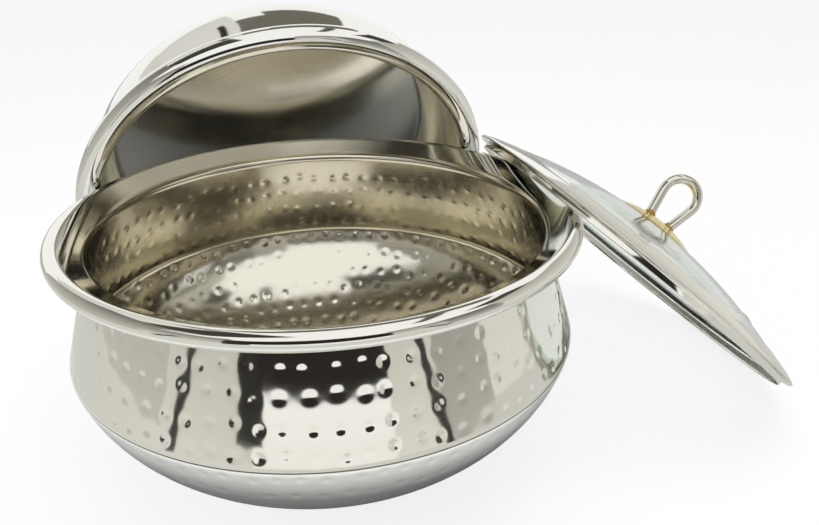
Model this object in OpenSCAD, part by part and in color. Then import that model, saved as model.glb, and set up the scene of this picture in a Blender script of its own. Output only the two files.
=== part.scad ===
// Hammered belly pot with a rolled rim, a deep dome lid that leans on it from behind
// and a glass lid that leans on it from the right. Millimetres, +Z up, pot axis at the origin.

/* [Pot] */
// Height of the pot, from the table to the crest of its rolled rim
pot_h = 155.5; // [130:0.5:190]
// Outer diameter of the rolled rim
rim_od = 300; // [270:1:330]
// Outside diameter of the rolled rim's tube
rim_tube_d = 10.2; // [8:0.2:16]
// How far the throat's inside lies inwards of the rim's outer edge
throat_inset = 21.5; // [18:0.25:30]
// How far the throat lies below the crest of the rim
throat_drop = 11; // [11:0.5:22]
// Radius of the rounded throat
throat_round = 4; // [3:0.5:6]
// Outside diameter of the belly at its crease
belly_d = 295.6; // [270:0.2:330]
// Height of the belly's crease above the table
belly_h = 83.4; // [60:0.2:100]
// Length of the crease that is rounded off, to each side
crease_round = 2; // [1:0.5:8]
// Diameter of the flat bottom
base_d = 95; // [80:1:140]
// Radius that the bowl's curve is drawn towards
bowl_pull_r = 132; // [120:0.5:140]
// Height that the bowl's curve is drawn towards
bowl_pull_h = 28; // [12:0.5:34]
// Sheet thickness of the pot
pot_wall = 1.2; // [0.8:0.1:2]

/* [Dome lid] */
// Outer diameter of the dome lid's rolled rim
dome_rim_od = 280.6; // [260:0.2:310]
// Outside diameter of the dome lid's rim tube
dome_tube_d = 14.8; // [10:0.2:18]
// How far the dome's upright wall lies inwards of its rim's outer edge
dome_wall_inset = 12.6; // [11.5:0.1:14]
// Height of the dome lid over all, without its handle
dome_h = 77.5; // [65:0.5:100]
// How far the crown's edge lies inwards of the upright wall
crown_inset = 14; // [8:0.5:24]
// How far the crown's edge lies below its middle
crown_drop = 8.5; // [6:0.5:16]
// Height at which the dome's wall starts to curve in
dome_curve_h = 34; // [24:0.5:44]
// Radius of the fillet between the dome's wall and its rolled rim
dome_fillet = 3; // [1.5:0.5:5]
// Sheet thickness of the dome lid
dome_wall = 1; // [0.6:0.1:1.6]
// Lean of the dome lid's mouth, from upright towards the pot
dome_lean = 27; // [22:0.5:35]

/* [Glass lid] */
// Outer diameter of the glass lid's steel rim
flange_d = 263; // [258:1:276]
// Thickness of the rim's outer edge
flange_t = 1.2; // [0.8:0.1:2]
// Width of the flange outside the skirt, which drops into the pot's throat
flange_w = 6; // [4:0.5:9]
// Depth of the skirt below the rim's outer edge
skirt_h = 5; // [4:0.5:10]
// Thickness of the skirt
skirt_t = 1; // [0.8:0.1:2]
// Height of the glass's edge above the rim's outer edge
glass_edge_h = 3.4; // [3:0.1:5]
// Radius of the ball that the glass is part of
glass_ball_r = 322; // [290:1:360]
// Thickness of the glass
glass_t = 4; // [3:0.5:5]
// How far the glass's edge lies inwards of the skirt's outside
glass_inset = 4.5; // [3.5:0.5:8]
// How far the steel rim's lip reaches over the glass
lip_w = 9; // [6:0.5:20]
// Thickness of that lip
lip_t = 0.6; // [0.5:0.1:1]
// How far the steel rim's ledge reaches under the glass
ledge_w = 4; // [2:0.5:8]
// Thickness of that ledge
ledge_t = 1; // [0.6:0.1:1.2]
// Lean of the glass lid, from level
glass_lean = 42.2; // [38:0.2:46]
// Bearing of the glass lid's middle, from the right-hand side
glass_bearing = 1.7; // [-8:0.1:8]
// Bearing in which the glass lid slopes down
glass_slope_bearing = -0.5; // [-8:0.1:8]
// Turn of the glass lid's handle about the lid's axis
handle_turn = -25; // [-40:1:0]

/* [Steam vent] */
// Distance of the vent inwards of the glass's edge
vent_inset = 36; // [30:0.5:60]
// Bearing of the vent about the lid's axis, from the downhill side
vent_bearing = -40; // [-60:1:60]
// Diameter of the vent's collar
vent_d = 11; // [8:0.5:14]
// How far the collar stands up from the glass
vent_h = 2.6; // [1.5:0.1:4]
// Bore of the vent
vent_bore_d = 4; // [3:0.5:5]
// Diameter of the barrel through the glass
vent_barrel_d = 6.4; // [6:0.2:7.4]

/* [Handles] */
// Diameter of the domed brass plate under a handle
plate_d = 62; // [48:0.5:70]
// Rise of the domed plate
plate_rise = 6.4; // [4.6:0.2:8]
// Sheet thickness of the plate
plate_t = 1.2; // [0.8:0.1:2]
// Diameter of the handle's rod
rod_d = 6.6; // [4:0.2:8]
// Distance between the handle's legs at the plate
leg_gap = 16.4; // [14:0.2:22]
// Radius of the handle's bow
bow_r = 12.4; // [12:0.2:18]
// How far the legs spread, from upright
leg_spread = 12; // [6:1:18]
// Height of the braze collar on a leg
braze_h = 3.2; // [2:0.2:5]
// How far the braze collar stands out from the rod
braze_w = 1.2; // [0.6:0.1:2]

/* [Fixing of the glass lid's handle] */
// Diameter of the gasket on top of the glass, inside the hollow plate
top_gasket_d = 28; // [20:1:32]
// Thickness of the gasket on top of the glass, in its middle
top_gasket_t = 0.6; // [0.4:0.1:0.8]
// Diameter of the gasket under the glass
under_gasket_d = 28; // [24:1:34]
// Thickness of the gasket under the glass
under_gasket_t = 1.6; // [1.2:0.1:2.5]
// Diameter of the steel washer under the glass
washer_d = 24; // [20:1:24]
// Thickness of that washer
washer_t = 1.5; // [1:0.1:2]
// Diameter of the screw's shank
screw_d = 5; // [4:0.5:6]
// Diameter of the screw's head
screw_head_d = 11; // [9:0.5:13]
// Height of the screw's head
screw_head_h = 3.2; // [2.5:0.1:4.5]
// Gap between the screw's tip and the plate's sheet
screw_tip_gap = 0.5; // [0.3:0.1:1]
// Diameter of the boss under the plate
boss_d = 13; // [11:0.5:16]
// Diameter of the hole in the middle of the glass
glass_hole_d = 9; // [7.5:0.5:10]

/* [Clearances] */
// Gap at which a leaning lid touches the pot's rim
lean_gap = 0.35; // [0.2:0.05:0.6]
// Gap between pieces of one lid that bear on each other
seat_gap = 0.08; // [0.05:0.01:0.15]
// Gap all round between a hole and what passes through it
hole_gap = 0.3; // [0.2:0.05:0.5]
// Slit that is left where a rolled rim closes
roll_slit = 2; // [1:0.1:3]

/* [Hidden] */
$fn = 120;

// Points along an arc about c, from angle a0 to angle a1
function arc(c, r, a0, a1, n = 12) =
    [for (i = [0 : n]) let (a = a0 + (a1 - a0) * i / n) c + r * [cos(a), sin(a)]];

// Points along a curve from a to c that is drawn towards b
function curve(a, b, c, n = 16) =
    [for (i = [0 : n]) let (t = i / n) (1 - t) * (1 - t) * a + 2 * t * (1 - t) * b + t * t * c];

// A sheet's outline from its middle line: every point goes out by half the thickness to both sides
function unit(v) = v / norm(v);
function side(a, b) = let (d = unit(b - a)) [-d.y, d.x];
function corner(path, i) =
    let (last = len(path) - 1,
        before = i == 0 ? side(path[0], path[1]) : side(path[i - 1], path[i]),
        after = i == last ? side(path[last - 1], path[last]) : side(path[i], path[i + 1]),
        middle = unit(before + after))
    middle / (middle * before);
function shifted(path, d) =
    [for (i = [0 : len(path) - 1])
        let (p = path[i] + d * corner(path, i)) [path[i].x == 0 ? 0 : p.x, p.y]];
function backwards(list) = [for (i = [len(list) - 1 : -1 : 0]) list[i]];
function tidy(path) =
    [for (i = [0 : len(path) - 1]) if (i == 0 || norm(path[i] - path[max(i - 1, 0)]) > 0.001) path[i]];
function sheet(path, t) = concat(shifted(path, t / 2), backwards(shifted(path, -t / 2)));

// Pot: the middle line of its sheet, from the bottom's middle to the end of the rolled rim
rim_tube_r = rim_tube_d / 2;
rim_ring_r = rim_od / 2 - rim_tube_r;
rim_z = pot_h - rim_tube_r;
rim_mid_r = rim_tube_r - pot_wall / 2;
rim_centre = [rim_ring_r, rim_z];
throat_d = rim_od - 2 * throat_inset;
throat_mid_r = throat_d / 2 + pot_wall / 2;
throat_centre = [throat_mid_r + throat_round, pot_h - throat_drop];
base_edge = [base_d / 2, pot_wall / 2];
crease = [belly_d / 2 - pot_wall / 2, belly_h];
bowl_pull = [bowl_pull_r - pot_wall / 2, bowl_pull_h];
// The shoulder is the straight line from the crease that just touches the rounded throat
shoulder_way = throat_centre - crease;
shoulder_a = atan2(shoulder_way.y, shoulder_way.x) + asin(throat_round / norm(shoulder_way));
shoulder_dir = [cos(shoulder_a), sin(shoulder_a)];
shoulder_top_a = shoulder_a + 90;
shoulder_low = crease + crease_round * shoulder_dir;
bowl_dir = unit(bowl_pull - crease);
bowl_top = crease + crease_round * bowl_dir;
// The funnel is the straight line that touches the throat's arc and the rim's tube
funnel_way = rim_centre - throat_centre;
funnel_a = atan2(funnel_way.y, funnel_way.x) + asin((rim_mid_r - throat_round) / norm(funnel_way));
funnel_touch_a = funnel_a + 90;
roll_end_a = funnel_touch_a - 360 + acos(1 - (pot_wall + roll_slit) / rim_mid_r);
pot_path = tidy(concat(
    [[0, pot_wall / 2]],
    curve(base_edge, bowl_pull, bowl_top, 18),
    curve(bowl_top, crease, shoulder_low, 6),
    arc(throat_centre, throat_round, shoulder_top_a, funnel_touch_a, 8),
    arc(rim_centre, rim_mid_r, funnel_touch_a, roll_end_a, 36)));

module pot_body() {
    color("silver") rotate_extrude() polygon(sheet(pot_path, pot_wall));
}

// Dome lid in its own place: mouth down, the rolled rim's lowest edge at z = 0
dome_tube_r = dome_tube_d / 2;
dome_ring_r = dome_rim_od / 2 - dome_tube_r;
dome_mid_r = dome_tube_r - dome_wall / 2;
dome_wall_d = dome_rim_od - 2 * dome_wall_inset;
dome_wall_mid = dome_wall_d / 2 - dome_wall / 2;
dome_top = dome_h - dome_wall / 2;
crown_edge = [dome_wall_d / 2 - crown_inset, dome_top - crown_drop];
crown_ball_r = (pow(crown_edge.x, 2) + pow(crown_drop, 2)) / (2 * crown_drop);
crown_half_a = asin(crown_edge.x / crown_ball_r);
dome_roll_end_a = -200;
dome_ledge_z = dome_tube_d - dome_wall / 2;
dome_path = tidy(concat(
    arc([0, dome_top - crown_ball_r], crown_ball_r, 90, 90 - crown_half_a, 12),
    curve(crown_edge, [dome_wall_mid, dome_h * 0.72], [dome_wall_mid, dome_curve_h], 14),
    arc([dome_wall_mid + dome_fillet, dome_ledge_z + dome_fillet], dome_fillet, 180, 270, 6),
    arc([dome_ring_r, dome_tube_r], dome_mid_r, 90, dome_roll_end_a, 36)));

// A leaning lid rests where its edge just touches the pot's rim: how near it comes is worked out
// from the rim's ring, by halving the way between a place that is clear and one that isn't
function ring_gap(points, reach) =
    min([for (p = points) norm([norm([p.x, p.y]) - rim_ring_r, p.z - rim_z])]) - rim_tube_r - reach - lean_gap;

dome_low_z = dome_tube_r + dome_ring_r * cos(dome_lean);
function dome_ring(out) =
    [for (a = [-90 : 2 : 90])
        [dome_ring_r * cos(a), out - dome_ring_r * sin(a) * sin(dome_lean), dome_low_z + dome_ring_r * sin(a) * cos(dome_lean)]];
function dome_rest(near, far, n = 24) =
    n == 0 ? far
    : let (out = (near + far) / 2)
        ring_gap(dome_ring(out), dome_tube_r) > 0 ? dome_rest(near, out, n - 1) : dome_rest(out, far, n - 1);
dome_out = dome_rest(rim_ring_r - 60, rim_ring_r + 20);

module on_dome_lid() {
    translate([0, dome_out, dome_low_z]) rotate([dome_lean - 90, 0, 0]) translate([0, 0, -dome_tube_r]) children();
}

module dome_shell() {
    color("lightsteelblue") on_dome_lid() rotate_extrude() polygon(sheet(dome_path, dome_wall));
}

// Glass lid in its own place: the middle of the rim's outer edge at z = 0
flange_r = flange_d / 2;
skirt_r = flange_r - flange_w;
glass_r = skirt_r - glass_inset;
lip_r = glass_r - lip_w;
ball_z = glass_edge_h - sqrt(pow(glass_ball_r, 2) - glass_r * glass_r);
glass_h = ball_z + glass_ball_r;
function glass_top(r) = ball_z + sqrt(pow(glass_ball_r, 2) - r * r);
function glass_under(r) = ball_z + sqrt(pow(glass_ball_r - glass_t, 2) - r * r);
slope_dir = [cos(glass_lean) * cos(glass_slope_bearing), cos(glass_lean) * sin(glass_slope_bearing), -sin(glass_lean)];
level_dir = [-sin(glass_slope_bearing), cos(glass_slope_bearing), 0];
lid_axis = [sin(glass_lean) * cos(glass_slope_bearing), sin(glass_lean) * sin(glass_slope_bearing), cos(glass_lean)];
bearing_dir = [cos(glass_bearing), sin(glass_bearing), 0];
flange_low = flange_r * sin(glass_lean) + flange_t / 2 * cos(glass_lean);
skirt_low = skirt_r * sin(glass_lean) + skirt_h * cos(glass_lean);
glass_low_z = max(flange_low, skirt_low);
function glass_place(out) = out * bearing_dir + [0, 0, glass_low_z];
function lid_ring(out, r, z) =
    [for (a = [90 : 2 : 270]) glass_place(out) + z * lid_axis + r * cos(a) * slope_dir + r * sin(a) * level_dir];
function glass_gap(out) = min(
    ring_gap(lid_ring(out, skirt_r, -skirt_h), 0),
    ring_gap(lid_ring(out, skirt_r, -flange_t / 2), 0),
    ring_gap(lid_ring(out, skirt_r - skirt_t, -skirt_h), 0),
    ring_gap(lid_ring(out, flange_r, -flange_t / 2), 0));
function glass_rest(near, far, n = 24) =
    n == 0 ? far
    : let (out = (near + far) / 2) glass_gap(out) > 0 ? glass_rest(near, out, n - 1) : glass_rest(out, far, n - 1);
glass_out = glass_rest(rim_ring_r + 40, rim_ring_r + 130);

module on_glass_lid() {
    translate(glass_place(glass_out)) rotate([0, glass_lean, glass_slope_bearing]) children();
}

// Turns the glass lid's ball so that its top point comes under the given distance from the middle
module on_glass_at(r, bearing) {
    rotate([0, 0, bearing]) translate([0, 0, ball_z]) rotate([0, asin(r / glass_ball_r), 0])
        translate([0, 0, glass_ball_r]) children();
}

module ball(r) {
    translate([0, 0, ball_z]) rotate([90, 0, 0]) sphere(r = r, $fn = 240);
}

vent_r = glass_r - vent_inset;
vent_hole_r = vent_barrel_d / 2 + hole_gap;

module glass_pane() {
    color("lightcyan", 0.5) on_glass_lid() difference() {
        intersection() {
            difference() {
                ball(glass_ball_r);
                ball(glass_ball_r - glass_t);
            }
            translate([0, 0, -glass_h]) cylinder(r = glass_r, h = 3 * glass_h);
        }
        cylinder(r = glass_hole_d / 2, h = 2 * glass_h);
        on_glass_at(vent_r, vent_bearing) translate([0, 0, -3 * glass_t]) cylinder(r = vent_hole_r, h = 6 * glass_t);
    }
}

// Steel rim: a lip on the glass, a channel for the glass's edge, an outer flange and a skirt
ledge_r = glass_r - ledge_w;
channel_r = glass_r + hole_gap;
skirt_in_r = skirt_r - skirt_t;
channel_steps = 8;
rim_section = concat(
    [[lip_r, glass_top(lip_r) + seat_gap + lip_t]],
    curve([(lip_r + glass_r) / 2, glass_top((lip_r + glass_r) / 2) + 1.3 * lip_t + seat_gap],
        [skirt_r - 1, glass_top(glass_r) + lip_t],
        [flange_r, flange_t / 2], 10),
    [[flange_r, -flange_t / 2], [skirt_r + 1, -flange_t / 2], [skirt_r, -flange_t / 2 - 1],
        [skirt_r, skirt_t / 2 - skirt_h], [skirt_r - skirt_t / 4, -skirt_h],
        [skirt_r - skirt_t * 3 / 4, -skirt_h], [skirt_in_r, skirt_t / 2 - skirt_h]],
    [for (i = [0 : channel_steps]) let (r = skirt_in_r + (ledge_r - skirt_in_r) * i / channel_steps)
        [r, glass_under(r) - seat_gap - ledge_t]],
    [for (i = [0 : channel_steps]) let (r = ledge_r + (channel_r - ledge_r) * i / channel_steps)
        [r, glass_under(r) - seat_gap]],
    [for (i = [0 : channel_steps]) let (r = channel_r + (lip_r - channel_r) * i / channel_steps)
        [r, glass_top(r) + seat_gap]]);

module glass_rim() {
    color("gainsboro") on_glass_lid() rotate_extrude() polygon(rim_section);
}

// Steam vent: a collar on the glass, a barrel through it and a turned lip below it
vent_r_out = vent_d / 2;
vent_sag = glass_ball_r - sqrt(pow(glass_ball_r, 2) - pow(vent_r_out, 2));
vent_lip_r = vent_r_out - 1;

module vent_eyelet() {
    color("gray") on_glass_lid() on_glass_at(vent_r, vent_bearing) rotate_extrude()
        polygon(concat(
            [[vent_bore_d / 2, -glass_t - vent_sag - seat_gap - 0.8], [vent_bore_d / 2, vent_h]],
            curve([vent_barrel_d / 2, vent_h], [vent_r_out, vent_h], [vent_r_out, seat_gap], 6),
            [[vent_barrel_d / 2, seat_gap], [vent_barrel_d / 2, -glass_t - vent_sag - seat_gap],
                [vent_lip_r, -glass_t - vent_sag - seat_gap], [vent_lip_r, -glass_t - vent_sag - seat_gap - 0.8]]));
}

// Handles: a domed plate with a bent rod brazed on it, drawn with the plate's edge at z = 0
plate_r = plate_d / 2;
plate_ball_r = (plate_r * plate_r + plate_rise * plate_rise) / (2 * plate_rise);
plate_ball_z = plate_rise - plate_ball_r;
plate_in_r = sqrt(pow(plate_ball_r - plate_t, 2) - pow(plate_ball_z, 2));
leg_foot_z = plate_ball_z + sqrt(pow(plate_ball_r, 2) - pow(leg_gap / 2, 2));
leg_l = (bow_r * cos(leg_spread) - leg_gap / 2) / sin(leg_spread);
bow_z = leg_foot_z + leg_l * cos(leg_spread) + bow_r * sin(leg_spread);
// The straight legs run a little way into the bow and are that much thinner
leg_lap = 0.5;
leg_slack = 0.06;

module plate_ball(r) {
    translate([0, 0, plate_ball_z]) rotate([90, 0, 0]) sphere(r = r, $fn = 360);
}

module plate_dome() {
    intersection() {
        difference() {
            plate_ball(plate_ball_r);
            plate_ball(plate_ball_r - plate_t);
        }
        cylinder(r = 2 * plate_r, h = 2 * plate_rise);
    }
}

module on_leg(side) {
    translate([side * leg_gap / 2, 0, leg_foot_z]) rotate([0, side * leg_spread, 0]) children();
}

module loop() {
    difference() {
        union() {
            for (side = [-1, 1])
                on_leg(side) translate([0, 0, -rod_d / 2]) cylinder(d = rod_d - leg_slack, h = leg_l + rod_d / 2 + leg_lap);
            translate([0, 0, bow_z]) rotate([90, 0, 0]) rotate([0, 0, -leg_spread])
                rotate_extrude(angle = 180 + 2 * leg_spread) translate([bow_r, 0]) circle(d = rod_d);
        }
        plate_ball(plate_ball_r + seat_gap);
    }
}

module braze() {
    difference() {
        union() {
            for (side = [-1, 1])
                on_leg(side) translate([0, 0, -braze_w])
                    cylinder(r1 = rod_d / 2 + braze_w + 0.4, r2 = rod_d / 2 + 0.5, h = braze_h + braze_w);
        }
        for (side = [-1, 1])
            on_leg(side) translate([0, 0, -rod_d]) cylinder(r = rod_d / 2 + seat_gap, h = 3 * rod_d);
        plate_ball(plate_ball_r + seat_gap);
    }
}

// The plate's inner edge sits on the dome lid's crown or on the glass
dome_seat_z = dome_h - (crown_ball_r - sqrt(pow(crown_ball_r, 2) - pow(plate_in_r, 2))) + seat_gap;
glass_seat_z = glass_top(plate_in_r) + seat_gap;

module on_dome_seat() {
    on_dome_lid() translate([0, 0, dome_seat_z]) children();
}

module on_glass_seat() {
    on_glass_lid() rotate([0, 0, handle_turn]) translate([0, 0, glass_seat_z]) children();
}

module dome_plate() {
    color("goldenrod") on_dome_seat() plate_dome();
}

module dome_loop() {
    color("slategray") on_dome_seat() loop();
}

module dome_braze() {
    color("darkgoldenrod") on_dome_seat() braze();
}

// The boss under the glass lid's plate takes the screw
boss_z = glass_h + top_gasket_t + seat_gap;
screw_top_z = glass_seat_z + plate_rise - plate_t - screw_tip_gap;
boss_bore_h = screw_top_z + screw_tip_gap / 2 - boss_z;

module glass_plate() {
    color("goldenrod") {
        on_glass_seat() plate_dome();
        on_glass_lid() difference() {
            translate([0, 0, boss_z]) cylinder(d = boss_d, h = glass_seat_z + plate_rise - plate_t / 2 - boss_z);
            translate([0, 0, boss_z - 1]) cylinder(r = screw_d / 2 + seat_gap, h = boss_bore_h + 1);
        }
    }
}

module glass_loop() {
    color("slategray") on_glass_seat() loop();
}

module glass_braze() {
    color("darkgoldenrod") on_glass_seat() braze();
}

// Fixing: gaskets on both sides of the glass, a washer and a screw from below
gasket_hole_r = screw_d / 2 + hole_gap;
under_z = glass_under(0) - seat_gap - under_gasket_t;
washer_z = under_z - washer_t;
top_gasket_r = top_gasket_d / 2;

module top_gasket() {
    color("whitesmoke") on_glass_lid() rotate_extrude() polygon(concat(
        [for (i = [0 : 10]) let (r = gasket_hole_r + (top_gasket_r - gasket_hole_r) * i / 10) [r, glass_top(r) + seat_gap]],
        [[top_gasket_r, glass_h + top_gasket_t], [gasket_hole_r, glass_h + top_gasket_t]]));
}

module under_gasket() {
    color("whitesmoke") on_glass_lid() rotate_extrude() polygon(concat(
        [[gasket_hole_r, under_z], [under_gasket_d / 2, under_z]],
        [for (i = [6 : -1 : 0]) let (r = gasket_hole_r + (under_gasket_d / 2 - gasket_hole_r) * i / 6)
            [r, glass_under(r) - seat_gap]]));
}

module fixing_washer() {
    color("lightgray") on_glass_lid() difference() {
        translate([0, 0, washer_z]) cylinder(d = washer_d, h = washer_t);
        cylinder(r = gasket_hole_r, h = 3 * glass_h);
    }
}

module fixing_screw() {
    color("gray") on_glass_lid() difference() {
        union() {
            translate([0, 0, washer_z - screw_head_h]) cylinder(d1 = screw_head_d - 2, d2 = screw_head_d, h = screw_head_h);
            translate([0, 0, washer_z - 0.1]) cylinder(d = screw_d, h = screw_top_z - washer_z + 0.1);
        }
        translate([-0.6, -screw_head_d, washer_z - screw_head_h - 1]) cube([1.2, 2 * screw_head_d, 2.2]);
    }
}

pot_body();
dome_shell();
dome_plate();
dome_loop();
dome_braze();
glass_pane();
glass_rim();
vent_eyelet();
glass_plate();
glass_loop();
glass_braze();
top_gasket();
under_gasket();
fixing_washer();
fixing_screw();
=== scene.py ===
import math
import random

import bmesh
import bpy
from mathutils import Matrix, Vector


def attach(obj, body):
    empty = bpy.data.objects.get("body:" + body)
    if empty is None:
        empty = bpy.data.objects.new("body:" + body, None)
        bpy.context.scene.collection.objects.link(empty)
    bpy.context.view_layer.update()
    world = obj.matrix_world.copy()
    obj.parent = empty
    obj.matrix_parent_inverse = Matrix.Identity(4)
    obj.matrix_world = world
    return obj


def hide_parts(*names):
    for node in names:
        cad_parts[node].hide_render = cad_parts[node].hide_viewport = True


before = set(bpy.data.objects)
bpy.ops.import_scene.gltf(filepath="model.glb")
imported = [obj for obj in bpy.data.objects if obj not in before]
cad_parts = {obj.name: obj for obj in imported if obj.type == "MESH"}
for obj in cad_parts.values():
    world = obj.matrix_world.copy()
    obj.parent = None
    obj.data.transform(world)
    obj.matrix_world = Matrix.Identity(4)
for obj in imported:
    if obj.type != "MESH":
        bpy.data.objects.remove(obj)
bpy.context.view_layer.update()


# Camera: a little above the rim, in front and slightly to the left.
# It looks at the rim's middle, with the small turns that put the pot left of the picture's middle.
camera_distance = 0.4666
camera_azimuth = math.radians(-10.85)
camera_elevation = math.radians(20.93)
camera_yaw, camera_pitch, camera_roll = (math.radians(v) for v in (-6.19, -3.78, 3.27))
rim_middle = Vector((0, 0, 0.1504))
to_camera = Vector((math.sin(camera_azimuth) * math.cos(camera_elevation),
                    -math.cos(camera_azimuth) * math.cos(camera_elevation), math.sin(camera_elevation)))
ahead = -to_camera
right = ahead.cross(Vector((0, 0, 1))).normalized()
up = right.cross(ahead)
turn = Matrix.Rotation(camera_yaw, 3, up)
ahead, right = turn @ ahead, turn @ right
turn = Matrix.Rotation(camera_pitch, 3, right)
ahead, up = turn @ ahead, turn @ up
turn = Matrix.Rotation(camera_roll, 3, ahead)
right, up = turn @ right, turn @ up
camera_data = bpy.data.cameras.new("camera")
camera_data.sensor_width = 36
camera_data.lens = 35.07
camera_data.clip_start = 0.01
camera = bpy.data.objects.new("camera", camera_data)
camera.matrix_world = Matrix((right, up, -ahead)).transposed().to_4x4()
camera.location = rim_middle + camera_distance * to_camera
bpy.context.scene.collection.objects.link(camera)
bpy.context.scene.camera = camera
bpy.context.scene.view_settings.view_transform = "Standard"


# Pot: one sheet of stainless steel, spun to a bowl with a creased belly, a conical shoulder and a rolled
# rim, then hammered below the throat. Outside and on the funnel it is a mirror, inside it keeps the satin
# of the spinning.
pot_height, rim_diameter, rim_tube = 155.5, 300.0, 10.2
throat_diameter, throat_depth, throat_radius = 257.0, 11.0, 4.0
belly_diameter, belly_height, crease_round = 295.6, 83.4, 2.0
base_diameter, bowl_pull, pot_sheet, roll_slit = 95.0, (132.0, 28.0), 1.2, 2.0


def linear(code):
    parts = [int(code[i:i + 2], 16) / 255 for i in (1, 3, 5)]
    return [v / 12.92 if v <= 0.04045 else ((v + 0.055) / 1.055) ** 2.4 for v in parts] + [1.0]


def add(tree, kind, inputs=None, **settings):
    """Adds a node; an input that is a socket is linked, any other value is set."""
    node = tree.nodes.new(kind)
    for key, value in settings.items():
        setattr(node, key, value)
    for key, value in (inputs or {}).items():
        if isinstance(value, bpy.types.NodeSocket):
            tree.links.new(value, node.inputs[key])
        else:
            node.inputs[key].default_value = value
    return node


def new_material(name, **sockets):
    material = bpy.data.materials.new(name)
    material.use_nodes = True
    tree = material.node_tree
    shader = tree.nodes["Principled BSDF"]
    for key, value in sockets.items():
        shader.inputs[key.replace("_", " ")].default_value = value
    return material, tree, shader


def arc(centre, radius, start, end, count):
    angles = [math.radians(start + (end - start) * i / count) for i in range(count + 1)]
    return [(centre[0] + radius * math.cos(a), centre[1] + radius * math.sin(a)) for a in angles]


def curve(a, b, c, count):
    """A curve from a to c that is drawn towards b."""
    steps = [i / count for i in range(count + 1)]
    return [tuple((1 - t) ** 2 * p + 2 * t * (1 - t) * q + t * t * s for p, q, s in zip(a, b, c))
            for t in steps]


def line(a, b, count):
    return [tuple(p + (q - p) * i / count for p, q in zip(a, b)) for i in range(count + 1)]


def tidy(path):
    """The path without points that lie on the one before."""
    kept = [path[0]]
    for p in path[1:]:
        if math.dist(p, kept[-1]) > 1e-4:
            kept.append(p)
    return kept


def lengths(path):
    """Each point's way from the path's start."""
    sums = [0.0]
    for a, b in zip(path, path[1:]):
        sums.append(sums[-1] + math.dist(a, b))
    return sums


def spaced(path, step, start=0.0, end=None):
    """Points along the path, about step apart, from one way to another."""
    sums = lengths(path)
    end = sums[-1] if end is None else end
    count = max(2, round((end - start) / step))
    out, k = [], 0
    for i in range(count + 1):
        way = start + (end - start) * i / count
        while k < len(sums) - 2 and sums[k + 1] < way:
            k += 1
        t = (way - sums[k]) / (sums[k + 1] - sums[k])
        out.append(tuple(p + (q - p) * t for p, q in zip(path[k], path[k + 1])))
    return out


def left_of(path):
    """The unit vector to the left of the path at each point; on the axis it points straight up or down."""
    out = []
    for i in range(len(path)):
        a, b = path[max(i - 1, 0)], path[min(i + 1, len(path) - 1)]
        length = math.dist(a, b)
        out.append((-(b[1] - a[1]) / length, (b[0] - a[0]) / length))
    if path[0][0] < 1e-6:
        out[0] = (0.0, math.copysign(1.0, out[0][1]))
    return out


def beside(path, sides, distance):
    return [(max(p[0] + s[0] * distance, 0.0), p[1] + s[1] * distance) for p, s in zip(path, sides)]


def linked(name, mesh):
    piece = bpy.data.objects.new(name, mesh)
    bpy.context.scene.collection.objects.link(piece)
    return piece


def turned(name, path, place, segments, inside=None):
    """Turns a closed path of (radius, height) in mm about the z axis and puts it in its place, in metres.
    inside says for each point whether the strip after it takes the second material."""
    verts, rings = [], []
    for r, z in path:
        around = 1 if r < 1e-6 else segments
        rings.append([len(verts) + k % around for k in range(segments)])
        for k in range(around):
            a = 2 * math.pi * k / segments
            verts.append(place @ (Vector((r * math.cos(a), r * math.sin(a), z)) / 1000))
    ways = lengths(path + path[:1])
    faces, uvs, slots = [], [], []
    for i in range(len(path)):
        low, high = rings[i], rings[(i + 1) % len(path)]
        v0, v1 = ways[i] / 1000, ways[i + 1] / 1000
        for k in range(segments):
            n = (k + 1) % segments
            u0, u1 = k / segments, (k + 1) / segments
            corners = [(low[k], (u0, v0)), (low[n], (u1, v0)), (high[n], (u1, v1)), (high[k], (u0, v1))]
            kept = [c for m, c in enumerate(corners) if c[0] != corners[m - 1][0]]
            if len(kept) > 2:
                faces.append([c[0] for c in kept])
                uvs.extend(c[1] for c in kept)
                slots.append(1 if inside and inside[i] else 0)
    mesh = bpy.data.meshes.new(name)
    mesh.from_pydata(verts, [], faces)
    mesh.uv_layers.new(name="turned").data.foreach_set("uv", [c for uv in uvs for c in uv])
    mesh.polygons.foreach_set("material_index", slots)
    mesh.attributes.new("inside", "BOOLEAN", "FACE").data.foreach_set("value", [s == 1 for s in slots])
    mesh.polygons.foreach_set("use_smooth", [True] * len(faces))
    mesh.update()
    # The faces point outwards when the volume that they enclose is positive
    centre = place.translation
    if sum((p.center - centre).dot(p.normal) * p.area for p in mesh.polygons) < 0:
        mesh.flip_normals()
    mesh.set_sharp_from_angle(angle=math.radians(38))
    return linked(name, mesh)


# The sheet's middle line from the bottom's middle to the end of the rolled rim
rim_radius = rim_tube / 2
rim_centre = (rim_diameter / 2 - rim_radius, pot_height - rim_radius)
rim_mid = rim_radius - pot_sheet / 2
throat_centre = (throat_diameter / 2 + pot_sheet / 2 + throat_radius, pot_height - throat_depth)
crease = (belly_diameter / 2 - pot_sheet / 2, belly_height)
pull = (bowl_pull[0] - pot_sheet / 2, bowl_pull[1])
way = (throat_centre[0] - crease[0], throat_centre[1] - crease[1])
shoulder_angle = math.atan2(way[1], way[0]) + math.asin(throat_radius / math.hypot(*way))
shoulder_foot = (crease[0] + crease_round * math.cos(shoulder_angle),
                 crease[1] + crease_round * math.sin(shoulder_angle))
bowl_top = tuple(c + crease_round * (p - c) / math.dist(crease, pull) for c, p in zip(crease, pull))
way = (rim_centre[0] - throat_centre[0], rim_centre[1] - throat_centre[1])
funnel_angle = 90 + math.degrees(math.atan2(way[1], way[0])
                                 + math.asin((rim_mid - throat_radius) / math.hypot(*way)))
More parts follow.
